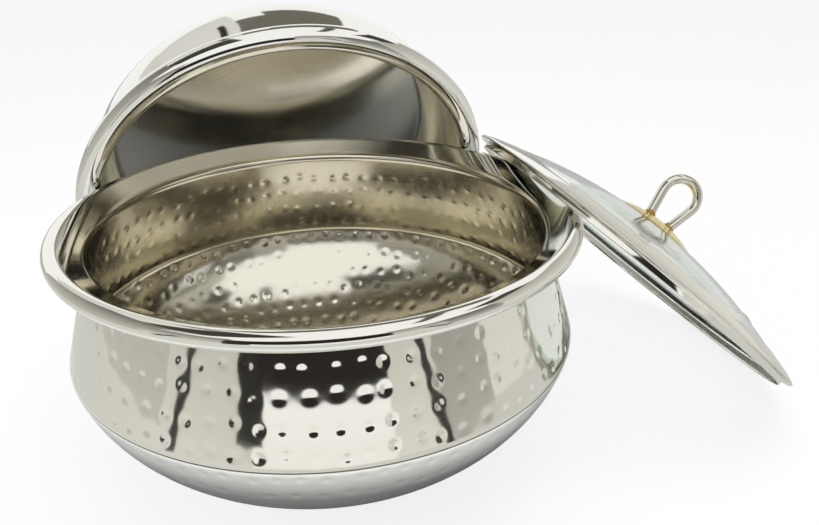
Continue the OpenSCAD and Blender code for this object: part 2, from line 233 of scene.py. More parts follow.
roll_end = funnel_angle - 360 + math.degrees(math.acos(1 - (pot_sheet + roll_slit) / rim_mid))
crease_curve = curve(bowl_top, crease, shoulder_foot, 24)
bowl_line = [(0, pot_sheet / 2)] + curve((base_diameter / 2, pot_sheet / 2), pull, bowl_top, 160)
throat_arc = arc(throat_centre, throat_radius, math.degrees(shoulder_angle) + 90, funnel_angle, 24)
roll_arc = arc(rim_centre, rim_mid, funnel_angle, roll_end, 120)
pot_line = tidy(bowl_line + crease_curve + throat_arc + roll_arc)
crease_way = lengths(tidy(bowl_line + crease_curve[:13]))[-1]
throat_way = lengths(tidy(bowl_line + crease_curve + throat_arc))[-1]

# Hammer marks: round dents in rows along the sheet from the crease, every second row half a mark on.
# Each mark has a small deep core in a wide shallow dip, and strays a little from its place.
mark_pitch, row_pitch, row_start, mark_stray = 12.0, 13.5, 7.5, 1.9
core_diameter, core_depth, dip_diameter, dip_depth = 6.6, 0.25, 13.0, 0.05
rows_above, rows_below = 4, 9


def hammer_points():
    chance = random.Random(7)
    places, forces = [], []
    for row in range(-rows_below, rows_above):
        way = crease_way + row_start + row_pitch * row
        radius, height = spaced(pot_line, 1.0, way, way + 1.0)[0]
        count = round(2 * math.pi * radius / mark_pitch)
        slope = left_of(spaced(pot_line, 1.0, way - 1.0, way + 1.0))[1]
        for k in range(count):
            along = chance.uniform(-mark_stray, mark_stray)
            stray = chance.uniform(-mark_stray, mark_stray) / radius
            a = (k + 0.5 * (row % 2)) * 2 * math.pi / count + stray
            r, z = radius + slope[1] * along, height - slope[0] * along
            places.append((r * math.cos(a) / 1000, r * math.sin(a) / 1000, z / 1000))
            forces.append(chance.uniform(0.55, 1.2))
    mesh = bpy.data.meshes.new("hammer_points")
    mesh.from_pydata(places, [], [])
    mesh.attributes.new("force", "FLOAT", "POINT").data.foreach_set("value", forces)
    return linked("hammer_points", mesh)


def hammer_tree():
    """Geometry Nodes that press the nearest hammer mark into each point of a sheet."""
    tree = bpy.data.node_groups.new("hammer_marks", "GeometryNodeTree")
    face = tree.interface
    kinds = {"Geometry": "Geometry", "Marks": "Object", "Core diameter": "Float", "Core depth": "Float",
             "Dip diameter": "Float", "Dip depth": "Float", "Outside": "Material", "Inside": "Material"}
    for name, kind in kinds.items():
        face.new_socket(name, in_out="INPUT", socket_type="NodeSocket" + kind)
    face.new_socket("Geometry", in_out="OUTPUT", socket_type="NodeSocketGeometry")
    given = add(tree, "NodeGroupInput").outputs

    def calc(operation, a, b=0.0):
        return add(tree, "ShaderNodeMath", {0: a, 1: b}, operation=operation).outputs[0]

    def dent(distance, diameter, depth):
        reach = calc("MINIMUM", calc("DIVIDE", distance, calc("MULTIPLY", diameter, 0.5)), 1.0)
        bowl = calc("SUBTRACT", 1.0, calc("MULTIPLY", reach, reach))
        return calc("MULTIPLY", calc("MULTIPLY", bowl, bowl), depth)

    marks = add(tree, "GeometryNodeObjectInfo", {"Object": given["Marks"]}).outputs["Geometry"]
    near = add(tree, "GeometryNodeProximity", {0: marks}, target_element="POINTS").outputs["Distance"]
    number = add(tree, "GeometryNodeSampleNearest", {"Geometry": marks}, domain="POINT").outputs["Index"]
    force = add(tree, "GeometryNodeInputNamedAttribute", {"Name": "force"}, data_type="FLOAT")
    force = add(tree, "GeometryNodeSampleIndex",
                {"Geometry": marks, "Value": force.outputs["Attribute"], "Index": number},
                data_type="FLOAT", domain="POINT").outputs[0]
    far = calc("MULTIPLY", near, 1000.0)
    core = calc("MULTIPLY", dent(far, given["Core diameter"], given["Core depth"]), force)
    depth = calc("ADD", core, dent(far, given["Dip diameter"], given["Dip depth"]))
    outward = add(tree, "GeometryNodeInputNamedAttribute", {"Name": "outward"}, data_type="FLOAT_VECTOR")
    inward_metres = calc("MULTIPLY", depth, -0.001)
    offset = add(tree, "ShaderNodeVectorMath", {0: outward.outputs["Attribute"], "Scale": inward_metres},
                 operation="SCALE").outputs[0]
    moved = add(tree, "GeometryNodeSetPosition", {"Geometry": given["Geometry"], "Offset": offset})
    whole = add(tree, "GeometryNodeRealizeInstances", {"Geometry": moved.outputs[0]})
    painted = add(tree, "GeometryNodeSetMaterial",
                  {"Geometry": whole.outputs[0], "Material": given["Outside"]})
    inner = add(tree, "GeometryNodeInputNamedAttribute", {"Name": "inside"}, data_type="BOOLEAN")
    painted = add(tree, "GeometryNodeSetMaterial",
                  {"Geometry": painted.outputs[0], "Material": given["Inside"],
                   "Selection": inner.outputs["Attribute"]})
    add(tree, "NodeGroupOutput", {"Geometry": painted.outputs[0]})
    return tree


# Polished stainless steel: a clean mirror with faint spinning lines and slight waves in its gloss
def polished_steel(name, colour, roughness, line_height):
    material, tree, shader = new_material(name, Metallic=1.0, Base_Color=linear(colour))
    where = add(tree, "ShaderNodeTexCoord").outputs
    # Lines run around the piece: the map is stretched along the turn and 0.5 mm fine across it
    lines_map = add(tree, "ShaderNodeMapping",
                    {"Vector": where["UV"], "Scale": (3.0, 2000.0, 1.0)}).outputs[0]
    lines = add(tree, "ShaderNodeTexNoise", {"Vector": lines_map, "Scale": 1.0, "Detail": 3.0}).outputs["Fac"]
    cloud = add(tree, "ShaderNodeTexNoise", {"Vector": where["Object"], "Scale": 18.0, "Detail": 4.0})
    mixed = add(tree, "ShaderNodeMath", {0: lines, 1: cloud.outputs["Fac"]}, operation="MULTIPLY").outputs[0]
    gloss = add(tree, "ShaderNodeMapRange", {"Value": mixed, "From Min": 0.1, "From Max": 0.45,
                                             "To Min": roughness * 0.6, "To Max": roughness * 1.5}).outputs[0]
    tree.links.new(gloss, shader.inputs["Roughness"])
    bump = add(tree, "ShaderNodeBump", {"Height": lines, "Strength": 0.25, "Distance": line_height / 1000})
    tree.links.new(bump.outputs[0], shader.inputs["Normal"])
    return material


# Satin spun steel: fine rings left by the spinning tool, which stretch each highlight into a fan across them
def satin_steel(name, colour, roughness, stretch):
    material, tree, shader = new_material(name, Metallic=1.0, Base_Color=linear(colour), Anisotropic=stretch,
                                          Anisotropic_Rotation=0.25)
    where = add(tree, "ShaderNodeTexCoord").outputs
    rings_map = add(tree, "ShaderNodeMapping",
                    {"Vector": where["UV"], "Scale": (4.0, 1400.0, 1.0)}).outputs[0]
    rings = add(tree, "ShaderNodeTexNoise", {"Vector": rings_map, "Scale": 1.0, "Detail": 4.0}).outputs["Fac"]
    gloss = add(tree, "ShaderNodeMapRange",
                {"Value": rings, "From Min": 0.3, "From Max": 0.7,
                 "To Min": roughness * 0.8, "To Max": roughness * 1.25}).outputs[0]
    tree.links.new(gloss, shader.inputs["Roughness"])
    bump = add(tree, "ShaderNodeBump", {"Height": rings, "Strength": 0.3, "Distance": 0.00001})
    tree.links.new(bump.outputs[0], shader.inputs["Normal"])
    along = add(tree, "ShaderNodeTangent", direction_type="UV_MAP", uv_map="turned")
    tree.links.new(along.outputs[0], shader.inputs["Tangent"])
    return material


# The second colour and the half width are those of the painted shade line at the crease
pot_colour, crease_shade_colour, crease_shade_half = "#F0EEE6", "#6A675F", 0.0004
pot_steel = polished_steel("polished_stainless_steel", pot_colour, 0.07, 0.003)
# A fine dark line of painted shade runs round the crease, standing in for the shadow of a fine groove there
tree = pot_steel.node_tree
where = add(tree, "ShaderNodeTexCoord").outputs
height = add(tree, "ShaderNodeSeparateXYZ", {"Vector": where["Object"]}).outputs["Z"]
at_crease = add(tree, "ShaderNodeMath", {0: height, 1: belly_height / 1000, 2: crease_shade_half},
                operation="COMPARE").outputs[0]
tone = add(tree, "ShaderNodeMixRGB", {0: at_crease, 1: linear(pot_colour), 2: linear(crease_shade_colour)})
tree.links.new(tone.outputs[0], tree.nodes["Principled BSDF"].inputs["Base Color"])
pot_satin = satin_steel("satin_pot_inside", "#ECE8DA", 0.13, 0.3)
hammer_marks = hammer_tree()
marks = hammer_points()


def pot_piece(name, start, end, step, segments, hammered):
    """The pot's sheet from one way along its middle line to another, counted from the crease."""
    middle = spaced(pot_line, step, crease_way + start, crease_way + end)
    sides = left_of(middle)
    count = len(middle)
    path = beside(middle, sides, -pot_sheet / 2) + beside(middle, sides, pot_sheet / 2)[::-1]
    ways = [start + (end - start) * i / (count - 1) for i in range(count)]
    inside = [False] * count + [way < throat_way - crease_way for way in reversed(ways)]
    piece = turned(name, path, Matrix.Identity(4), segments, inside)
    if hammered:
        outward = []
        for (r, z), (side_r, side_z) in zip(path, sides + sides[::-1]):
            for k in range(1 if r < 1e-6 else segments):
                a = 2 * math.pi * k / segments
                outward.extend((-side_r * math.cos(a), -side_r * math.sin(a), -side_z))
        piece.data.attributes.new("outward", "FLOAT_VECTOR", "POINT").data.foreach_set("vector", outward)
        sizes = {"Marks": marks, "Core diameter": core_diameter, "Core depth": core_depth,
                 "Dip diameter": dip_diameter, "Dip depth": dip_depth,
                 "Outside": pot_steel, "Inside": pot_satin}
        hammer = piece.modifiers.new("hammer", "NODES")
        hammer.node_group = hammer_marks
        for item in hammer_marks.interface.items_tree:
            if item.in_out == "INPUT" and item.name in sizes:
                hammer[item.identifier] = sizes[item.name]
        shown = piece.evaluated_get(bpy.context.evaluated_depsgraph_get())
        piece.data = bpy.data.meshes.new_from_object(shown)
        piece.modifiers.clear()
    else:
        piece.data.materials.append(pot_steel)
        piece.data.materials.append(pot_satin)
    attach(piece, "pot")
    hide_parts("pot_body")


# The sheet is cut between rows of marks: a piece may not have too many triangles
neck_cut, bowl_cut, base_cut = 54.7, -12.75, -80.25
pot_piece("pot_bowl_low", -crease_way, base_cut, 1.6, 480, True)
pot_piece("pot_bowl_high", base_cut, bowl_cut, 1.35, 720, True)
pot_piece("pot_shoulder", bowl_cut, neck_cut, 1.2, 840, True)
pot_piece("pot_neck", neck_cut, lengths(pot_line)[-1] - crease_way, 0.9, 360, False)
bpy.data.objects.remove(marks)


# Dome lid: a deep pressed steel lid with a rolled rim, polished outside and satin inside from spinning.
# It stands on the table behind the pot and leans forward on the pot's rim.
dome_rim_diameter, dome_tube, dome_wall_diameter, dome_height = 280.6, 14.8, 255.4, 77.5
crown_diameter, crown_drop, dome_curve_height, dome_fillet, dome_sheet = 227.4, 8.5, 34.0, 3.0, 1.0
dome_lean, dome_out = math.radians(27), 104.312
dome_tube_radius = dome_tube / 2
dome_ring = dome_rim_diameter / 2 - dome_tube_radius
dome_mid = dome_tube_radius - dome_sheet / 2
dome_low = dome_tube_radius + dome_ring * math.cos(dome_lean)
on_dome_lid = (Matrix.Translation((0, dome_out / 1000, dome_low / 1000))
               @ Matrix.Rotation(dome_lean - math.pi / 2, 4, "X")
               @ Matrix.Translation((0, 0, -dome_tube_radius / 1000)))
wall_mid = dome_wall_diameter / 2 - dome_sheet / 2
dome_top = dome_height - dome_sheet / 2
crown_edge = (crown_diameter / 2, dome_top - crown_drop)
crown_ball = (crown_edge[0] ** 2 + crown_drop ** 2) / (2 * crown_drop)
crown_angle = math.degrees(math.asin(crown_edge[0] / crown_ball))
ledge = dome_tube - dome_sheet / 2
crown = arc((0, dome_top - crown_ball), crown_ball, 90, 90 - crown_angle, 60)
side_curve = curve(crown_edge, (wall_mid, dome_height * 0.72), (wall_mid, dome_curve_height), 60)
# The pressed corner between crown and wall is rounded off over 3 mm to each side
corner = curve(crown[-2], crown_edge, side_curve[3], 12)
dome_line = tidy(crown[:-2] + corner + side_curve[3:]
                 + arc((wall_mid + dome_fillet, ledge + dome_fillet), dome_fillet, 180, 270, 16)
                 + arc((dome_ring, dome_tube_radius), dome_mid, 90, -200, 96))
dome_middle = spaced(dome_line, 1.4)
dome_sides = left_of(dome_middle)
dome_path = (beside(dome_middle, dome_sides, dome_sheet / 2)
             + beside(dome_middle, dome_sides, -dome_sheet / 2)[::-1])
wall_end = max(i for i, p in enumerate(dome_middle) if p[0] <= wall_mid + 0.6 and p[1] > ledge)
dome_inside = [False] * len(dome_middle) + [i <= wall_end for i in reversed(range(len(dome_middle)))]
dome_piece = turned("dome_lid_shell", dome_path, on_dome_lid, 300, dome_inside)
dome_piece.data.materials.append(polished_steel("polished_lid_steel", "#F0EFE9", 0.07, 0.003))
dome_piece.data.materials.append(satin_steel("satin_lid_inside", "#F4F0E2", 0.18, 0.85))
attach(dome_piece, "dome_lid")
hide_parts("dome_shell")


# Handles: a bent steel rod brazed on a domed brass plate, the same on both lids.
# The plate's edge is turned down on the lid, and a collar of braze metal shows round each leg.
plate_diameter, plate_rise, plate_sheet = 62.0, 6.4, 1.2
rod_diameter, leg_gap, bow_radius, leg_spread = 6.6, 16.4, 12.4, math.radians(12)
plate_ball = ((plate_diameter / 2) ** 2 + plate_rise ** 2) / (2 * plate_rise)
plate_centre = plate_rise - plate_ball
plate_inner = math.sqrt((plate_ball - plate_sheet) ** 2 - plate_centre ** 2)
leg_foot = plate_centre + math.sqrt(plate_ball ** 2 - (leg_gap / 2) ** 2)
leg_length = (bow_radius * math.cos(leg_spread) - leg_gap / 2) / math.sin(leg_spread)
bow_height = leg_foot + leg_length * math.cos(leg_spread) + bow_radius * math.sin(leg_spread)
seat_gap, edge_roll, rod_sink = 0.08, 0.55, 0.4
collar_width, collar_rise, collar_sink = 1.3, 3.2, 0.25


# Polished brass: a pale gold mirror with slight clouding and fine turning lines
def polished_brass(name, colour, roughness):
    material, tree, shader = new_material(name, Metallic=1.0)
    where = add(tree, "ShaderNodeTexCoord").outputs
    cloud = add(tree, "ShaderNodeTexNoise", {"Vector": where["Object"], "Scale": 90.0, "Detail": 5.0})
    tone = add(tree, "ShaderNodeValToRGB", {"Fac": cloud.outputs["Fac"]})
    tone.color_ramp.elements[0].position = 0.3
    tone.color_ramp.elements[0].color = [0.85 * c for c in linear(colour)[:3]] + [1.0]
    tone.color_ramp.elements[1].position = 0.7
    tone.color_ramp.elements[1].color = linear(colour)
    tree.links.new(tone.outputs[0], shader.inputs["Base Color"])
    lines_map = add(tree, "ShaderNodeMapping",
                    {"Vector": where["UV"], "Scale": (5.0, 2500.0, 1.0)}).outputs[0]
    lines = add(tree, "ShaderNodeTexNoise", {"Vector": lines_map, "Scale": 1.0, "Detail": 2.0}).outputs["Fac"]
    gloss = add(tree, "ShaderNodeMapRange", {"Value": lines, "From Min": 0.3, "From Max": 0.7,
                                             "To Min": roughness * 0.7, "To Max": roughness * 1.4}).outputs[0]
    tree.links.new(gloss, shader.inputs["Roughness"])
    bump = add(tree, "ShaderNodeBump", {"Height": lines, "Strength": 0.2, "Distance": 0.000008})
    tree.links.new(bump.outputs[0], shader.inputs["Normal"])
    return material


plate_brass = polished_brass("polished_brass", "#FDE69C", 0.18)
braze_metal = polished_brass("rough_braze_metal", "#C2A04E", 0.38)
rod_steel = polished_steel("polished_rod_steel", "#E2DFD4", 0.10, 0.004)


def rod(name, points, radius, sides=32):
    """A round bar along a flat path of points (x, z): its frame stays in the path's plane."""
    verts, faces, uvs = [], [], []
    for p, side in zip(points, left_of(points)):
        across = Vector((side[0], 0, side[1]))
        for k in range(sides):
            t = 2 * math.pi * k / sides
            out = radius * (math.cos(t) * across + math.sin(t) * Vector((0, 1, 0)))
            verts.append((Vector((p[0], 0, p[1])) + out) / 1000)
    ways = lengths(points)
    for i in range(len(points) - 1):
        low, high = ways[i] / 1000, ways[i + 1] / 1000
        for k in range(sides):
            n = (k + 1) % sides
            faces.append((i * sides + k, i * sides + n, (i + 1) * sides + n, (i + 1) * sides + k))
            uvs.extend(((k / sides, low), ((k + 1) / sides, low), ((k + 1) / sides, high), (k / sides, high)))
    last = (len(points) - 1) * sides
    for ring in (list(range(sides))[::-1], list(range(last, last + sides))):
        faces.append(ring)
        uvs.extend((0.0, 0.0) for v in ring)
    mesh = bpy.data.meshes.new(name)
    mesh.from_pydata(verts, [], faces)
    mesh.uv_layers.new(name="turned").data.foreach_set("uv", [c for uv in uvs for c in uv])
    mesh.polygons.foreach_set("use_smooth", [len(f) == 4 for f in faces])
    mesh.update()
    work = bmesh.new()
    work.from_mesh(mesh)
    bmesh.ops.recalc_face_normals(work, faces=work.faces)
    work.to_mesh(mesh)
    work.free()
    return linked(name, mesh)


def finished(piece, place, material, body, node):
    """Puts the piece's mesh in its place, paints it and lets it stand for its solid."""
    piece.data.transform(place)
    piece.data.materials.clear()
    piece.data.materials.append(material)
    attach(piece, body)
    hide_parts(node)


def handle(lid, place, below):
    """Plate, loop and braze collars of one lid. below is the rest of the plate's section, under its dome."""
    body = lid + "_lid"
    half = plate_diameter / 2
    tilt = math.degrees(math.asin(half / plate_ball))
    top = arc((0, plate_centre), plate_ball, 90, 90 - tilt, 40)
    under = arc((0, plate_centre), plate_ball - plate_sheet, 90 - tilt * 0.97, 90, 40)
    # The plate's edge is rounded to a small roll
    edge = curve(top[-2], (half + 0.05, 0.0), (half - edge_roll, 0.0), 8)
    reach = max((p[0] for p in below), default=0.0)
    section = top[:-2] + edge + [p for p in under if p[1] > 0.02 and p[0] >= reach] + below
    plate = turned(lid + "_plate_piece", tidy(section), Matrix.Identity(4), 160)
    finished(plate, place, plate_brass, body, lid + "_plate")
    # The rod's middle line: up one leg, round the bow and down the other leg
    left_foot = (-leg_gap / 2 + rod_sink * math.sin(leg_spread), leg_foot - rod_sink)
    bow = arc((0, bow_height), bow_radius, 180 + math.degrees(leg_spread), -math.degrees(leg_spread), 72)
    route = tidy(line(left_foot, bow[0], 20) + bow + line(bow[-1], (-left_foot[0], left_foot[1]), 20))
    loop = rod(lid + "_loop_piece", route, rod_diameter / 2)
    finished(loop, place, rod_steel, body, lid + "_loop")
    # Braze collars, a little uneven as they set round the legs
    collars = bmesh.new()
    rows, turns = 7, 36
    for side in (-1, 1):
        stand = (Matrix.Translation((side * leg_gap / 2000, 0, leg_foot / 1000))
                 @ Matrix.Rotation(side * leg_spread, 4, "Y"))
        rings = []
        for t in (i / (rows - 1) for i in range(rows)):
            ring = []
            for a in (2 * math.pi * k / turns for k in range(turns)):
                uneven = 1 + 0.16 * math.sin(2 * a + side) + 0.09 * math.sin(5 * a + 2 * side)
                out = rod_diameter / 2 - 0.1 + collar_width * uneven * (1 - t) ** 1.8
                rise = -collar_sink + collar_rise * t * uneven
                point = Vector((out * math.cos(a), out * math.sin(a), rise)) / 1000
                ring.append(collars.verts.new(stand @ point))
            rings.append(ring)
        for lower, upper in zip(rings, rings[1:]):
            for k in range(turns):
                n = (k + 1) % turns
                collars.faces.new((lower[k], lower[n], upper[n], upper[k])).smooth = True
        collars.faces.new(rings[0][::-1])
        collars.faces.new(rings[-1])
    mesh = bpy.data.meshes.new(lid + "_braze_piece")
    collars.to_mesh(mesh)
    collars.free()
    finished(linked(lid + "_braze_piece", mesh), place, braze_metal, body, lid + "_braze")


dome_seat = dome_height - (crown_ball - math.sqrt(crown_ball ** 2 - plate_inner ** 2)) + seat_gap
handle("dome", on_dome_lid @ Matrix.Translation((0, 0, dome_seat / 1000)), [])


# Glass lid: a domed pane of clear glass in a polished steel rim with a skirt for the pot's throat.
# It leans on the pot's rim from the right, with its lower edge on the table.
flange_diameter, flange_sheet, skirt_diameter, skirt_depth, skirt_sheet = 263.0, 1.2, 251.0, 5.0, 1.0
glass_height, glass_ball, glass_sheet, glass_diameter = 26.999, 322.0, 4.0, 242.0
lip_diameter, lip_sheet, ledge_width, ledge_sheet = 224.0, 0.6, 4.0, 1.0
glass_lean, glass_bearing, glass_slope = math.radians(42.2), math.radians(1.7), math.radians(-0.5)
glass_out, hole_gap = 215.32, 0.3
glass_low = max(flange_diameter / 2 * math.sin(glass_lean) + flange_sheet / 2 * math.cos(glass_lean),
                skirt_diameter / 2 * math.sin(glass_lean) + skirt_depth * math.cos(glass_lean))
glass_place = Vector((glass_out * math.cos(glass_bearing), glass_out * math.sin(glass_bearing),
                      glass_low)) / 1000
on_glass_lid = (Matrix.Translation(glass_place) @ Matrix.Rotation(glass_slope, 4, "Z")
                @ Matrix.Rotation(glass_lean, 4, "Y"))
ball_centre = glass_height - glass_ball


def glass_top(r):
    return ball_centre + math.sqrt(glass_ball ** 2 - r * r)


def glass_under(r):
    return ball_centre + math.sqrt((glass_ball - glass_sheet) ** 2 - r * r)


def along_glass(level, start, end, shift, count):
    """Points that follow the glass at a distance, from one radius to another."""
    radii = [start + (end - start) * i / count for i in range(count + 1)]
    return [(r, level(r) + shift) for r in radii]


# Clear tempered glass: faintly green in its depth, slightly wavy
lid_glass, tree, shader = new_material("clear_tempered_glass", Base_Color=linear("#F1F7F4"),
                                       Roughness=0.0, IOR=1.5, Transmission_Weight=1.0)
where = add(tree, "ShaderNodeTexCoord").outputs
waves = add(tree, "ShaderNodeTexNoise", {"Vector": where["Object"], "Scale": 14.0, "Detail": 1.0})
bump = add(tree, "ShaderNodeBump", {"Height": waves.outputs["Fac"], "Strength": 0.08, "Distance": 0.0004})
tree.links.new(bump.outputs[0], shader.inputs["Normal"])
glass_edge, hole_edge = glass_diameter / 2, 4.5
pane_path = (along_glass(glass_top, hole_edge, glass_edge, 0, 70)
             + along_glass(glass_under, glass_edge, hole_edge, 0, 70))
pane = turned("glass_pane_piece", pane_path, Matrix.Identity(4), 240)
finished(pane, on_glass_lid, lid_glass, "glass_lid", "glass_pane")

# Steel rim of the glass lid: rolled sheet with a lip on the glass, a flange and a skirt below it
rim_lid_steel = polished_steel("polished_rim_steel", "#F0EEE6", 0.08, 0.003)
lip_edge, skirt_edge, flange_edge = lip_diameter / 2, skirt_diameter / 2, flange_diameter / 2
ledge_edge, channel_edge = glass_edge - ledge_width, glass_edge + hole_gap
skirt_inner = skirt_edge - skirt_sheet
middle = (lip_edge + glass_edge) / 2
lip_level = glass_top(lip_edge) + seat_gap
band = curve((middle, glass_top(middle) + 1.3 * lip_sheet + seat_gap),
             (skirt_edge - 1, glass_top(glass_edge) + lip_sheet), (flange_edge, flange_sheet / 2), 30)
lip = curve((lip_edge + 0.2, lip_level + lip_sheet),
            (lip_edge + 3, glass_top(lip_edge + 3) + 1.35 * lip_sheet), band[2], 12)
rim_path = tidy(
    [(lip_edge, lip_level), (lip_edge - 0.1, lip_level + lip_sheet / 2)] + lip + band[3:-2]
    + arc((flange_edge - flange_sheet / 2, 0), flange_sheet / 2, 60, -90, 10)
    + curve((skirt_edge + 1.5, -flange_sheet / 2), (skirt_edge, -flange_sheet / 2),
            (skirt_edge, -flange_sheet / 2 - 1.5), 8)
    + arc((skirt_edge - skirt_sheet / 2, skirt_sheet / 2 - skirt_depth), skirt_sheet / 2, 0, -180, 12)
    + along_glass(glass_under, skirt_inner, ledge_edge, -seat_gap - ledge_sheet, 6)
    + along_glass(glass_under, ledge_edge, channel_edge, -seat_gap, 6)
    + along_glass(glass_top, channel_edge, lip_edge + 0.1, seat_gap, 12))
lid_rim = turned("glass_rim_piece", rim_path, Matrix.Identity(4), 300)
finished(lid_rim, on_glass_lid, rim_lid_steel, "glass_lid", "glass_rim")

# Steam vent: a pressed steel eyelet, set in a hole of the glass and turned over below it
vent_radius, vent_turn, vent_diameter, vent_height = 85.0, math.radians(-40), 11.0, 2.6
vent_bore, vent_barrel = 2.0, 3.2
vent_place = (on_glass_lid @ Matrix.Rotation(vent_turn, 4, "Z")
              @ Matrix.Translation((0, 0, ball_centre / 1000))
              @ Matrix.Rotation(math.asin(vent_radius / glass_ball), 4, "Y")
              @ Matrix.Translation((0, 0, glass_ball / 1000)))
vent_low = -glass_sheet - 0.05 - seat_gap
vent_edge = vent_diameter / 2
vent_path = tidy([(vent_bore, vent_low - 0.8)]
                 + curve((vent_bore, vent_height - 0.4), (vent_bore, vent_height),
                         (vent_bore + 0.6, vent_height), 5)
                 + curve((vent_barrel, vent_height), (vent_edge, vent_height), (vent_edge, seat_gap), 14)
                 + [(vent_barrel, seat_gap), (vent_barrel, vent_low), (vent_edge - 1, vent_low),
                    (vent_edge - 1, vent_low - 0.8)])
eyelet = turned("vent_eyelet_piece", vent_path, Matrix.Identity(4), 64)
finished(eyelet, vent_place, rod_steel, "glass_lid", "vent_eyelet")

# Fixing of the handle: clear silicone gaskets on both sides of the glass, a steel washer and a slotted screw
top_gasket_diameter, top_gasket_sheet, under_gasket_diameter, under_gasket_sheet = 28.0, 0.6, 28.0, 1.6
washer_diameter, washer_sheet, boss_radius = 24.0, 1.5, 6.5
screw_radius, head_diameter, head_height, screw_tip_gap = 2.5, 11.0, 3.2, 0.5
handle_seat = glass_top(plate_inner) + seat_gap
gasket_top = glass_height + top_gasket_sheet
screw_top = handle_seat + plate_rise - plate_sheet - screw_tip_gap
boss_low, bore_top = gasket_top + seat_gap - handle_seat, screw_top + screw_tip_gap / 2 - handle_seat
bore = screw_radius + seat_gap
handle("glass", on_glass_lid @ Matrix.Rotation(math.radians(-25), 4, "Z")
       @ Matrix.Translation((0, 0, handle_seat / 1000)),
       [(boss_radius, boss_low), (bore, boss_low), (bore, bore_top), (0.0, bore_top)])
silicone, tree, shader = new_material("clear_silicone", Base_Color=linear("#E9E6DC"), IOR=1.41,
                                      Transmission_Weight=0.6)
where = add(tree, "ShaderNodeTexCoord").outputs
cloud = add(tree, "ShaderNodeTexNoise", {"Vector": where["Object"], "Scale": 240.0, "Detail": 3.0})
gloss = add(tree, "ShaderNodeMapRange", {"Value": cloud.outputs["Fac"], "To Min": 0.25, "To Max": 0.45})
tree.links.new(gloss.outputs[0], shader.inputs["Roughness"])
hole = screw_radius + hole_gap
gasket_path = (along_glass(glass_top, hole, top_gasket_diameter / 2, seat_gap, 16)
               + [(top_gasket_diameter / 2, gasket_top), (hole, gasket_top)])
gasket = turned("top_gasket_piece", gasket_path, Matrix.Identity(4), 120)
finished(gasket, on_glass_lid, silicone, "glass_lid", "top_gasket")
under_level = glass_under(0) - seat_gap - under_gasket_sheet
half = under_gasket_diameter / 2
gasket_path = ([(hole, under_level), (half - 0.3, under_level), (half, under_level + 0.3)]
               + along_glass(glass_under, half, hole, -seat_gap, 10))
under_gasket = turned("under_gasket_piece", gasket_path, Matrix.Identity(4), 120)
finished(under_gasket, on_glass_lid, silicone, "glass_lid", "under_gasket")
washer_level = under_level - washer_sheet
half = washer_diameter / 2
washer_path = [(hole, washer_level), (half - 0.3, washer_level), (half, washer_level + 0.3),
               (half, under_level - 0.3), (half - 0.3, under_level), (hole, under_level)]
washer = turned("fixing_washer_piece", washer_path, Matrix.Identity(4), 120)
fixing_steel = satin_steel("satin_fixing_steel", "#C4C2BA", 0.28, 0.5)
finished(washer, on_glass_lid, fixing_steel, "glass_lid", "fixing_washer")
head_edge, head_low = head_diameter / 2, washer_level - head_height
screw_path = tidy([(0.0, head_low)]
                  + curve((head_edge - 2.2, head_low), (head_edge - 0.6, head_low + 0.2),
                          (head_edge, washer_level - 0.5), 8)
                  + [(head_edge, washer_level), (screw_radius, washer_level), (screw_radius, screw_top),
                     (0.0, screw_top)])
screw = turned("fixing_screw_piece", screw_path, Matrix.Identity(4), 96)
slot_width, slot_depth = 1.2, 1.2
tool = bmesh.new()
bmesh.ops.create_cube(tool, size=1.0, matrix=Matrix.Translation((0, 0, head_low / 1000))
                      @ Matrix.Diagonal((slot_width / 1000, 0.03, 2 * slot_depth / 1000, 1)))
slot_mesh = bpy.data.meshes.new("slot_tool")
tool.to_mesh(slot_mesh)
tool.free()
slot_tool = linked("slot_tool", slot_mesh)
cut = screw.modifiers.new("slot", "BOOLEAN")
cut.object = slot_tool
cut.operation = "DIFFERENCE"
cut.solver = "EXACT"
screw.data = bpy.data.meshes.new_from_object(screw.evaluated_get(bpy.context.evaluated_depsgraph_get()))
screw.modifiers.clear()
bpy.data.objects.remove(slot_tool)
finished(screw, on_glass_lid, fixing_steel, "glass_lid", "fixing_screw")


# Table: a plain pale surface. Seen directly or through glass it is almost white, with a soft shadow;
# in the metal it mirrors as a grey table with the shadows that lie on it and a painted shadow close to the
# pot.
def either(tree, a, b):
    return add(tree, "ShaderNodeMath", {0: a, 1: b}, operation="MAXIMUM").outputs[0]


table_mesh = bpy.data.meshes.new("table")
work = bmesh.new()
bmesh.ops.create_grid(work, x_segments=1, y_segments=1, size=6.0)
work.to_mesh(table_mesh)
work.free()
table = linked("table", table_mesh)
direct_share = 0.82
table_paint = bpy.data.materials.new("pale_table")
table_paint.use_nodes = True
tree = table_paint.node_tree
tree.nodes.clear()
glow = add(tree, "ShaderNodeEmission", {"Color": (1, 1, 1, 1), "Strength": 1.0})
rays = add(tree, "ShaderNodeLightPath").outputs
seen = either(tree, rays["Is Camera Ray"], rays["Is Transmission Ray"])
seen = add(tree, "ShaderNodeMath", {0: seen, 1: direct_share}, operation="MULTIPLY").outputs[0]
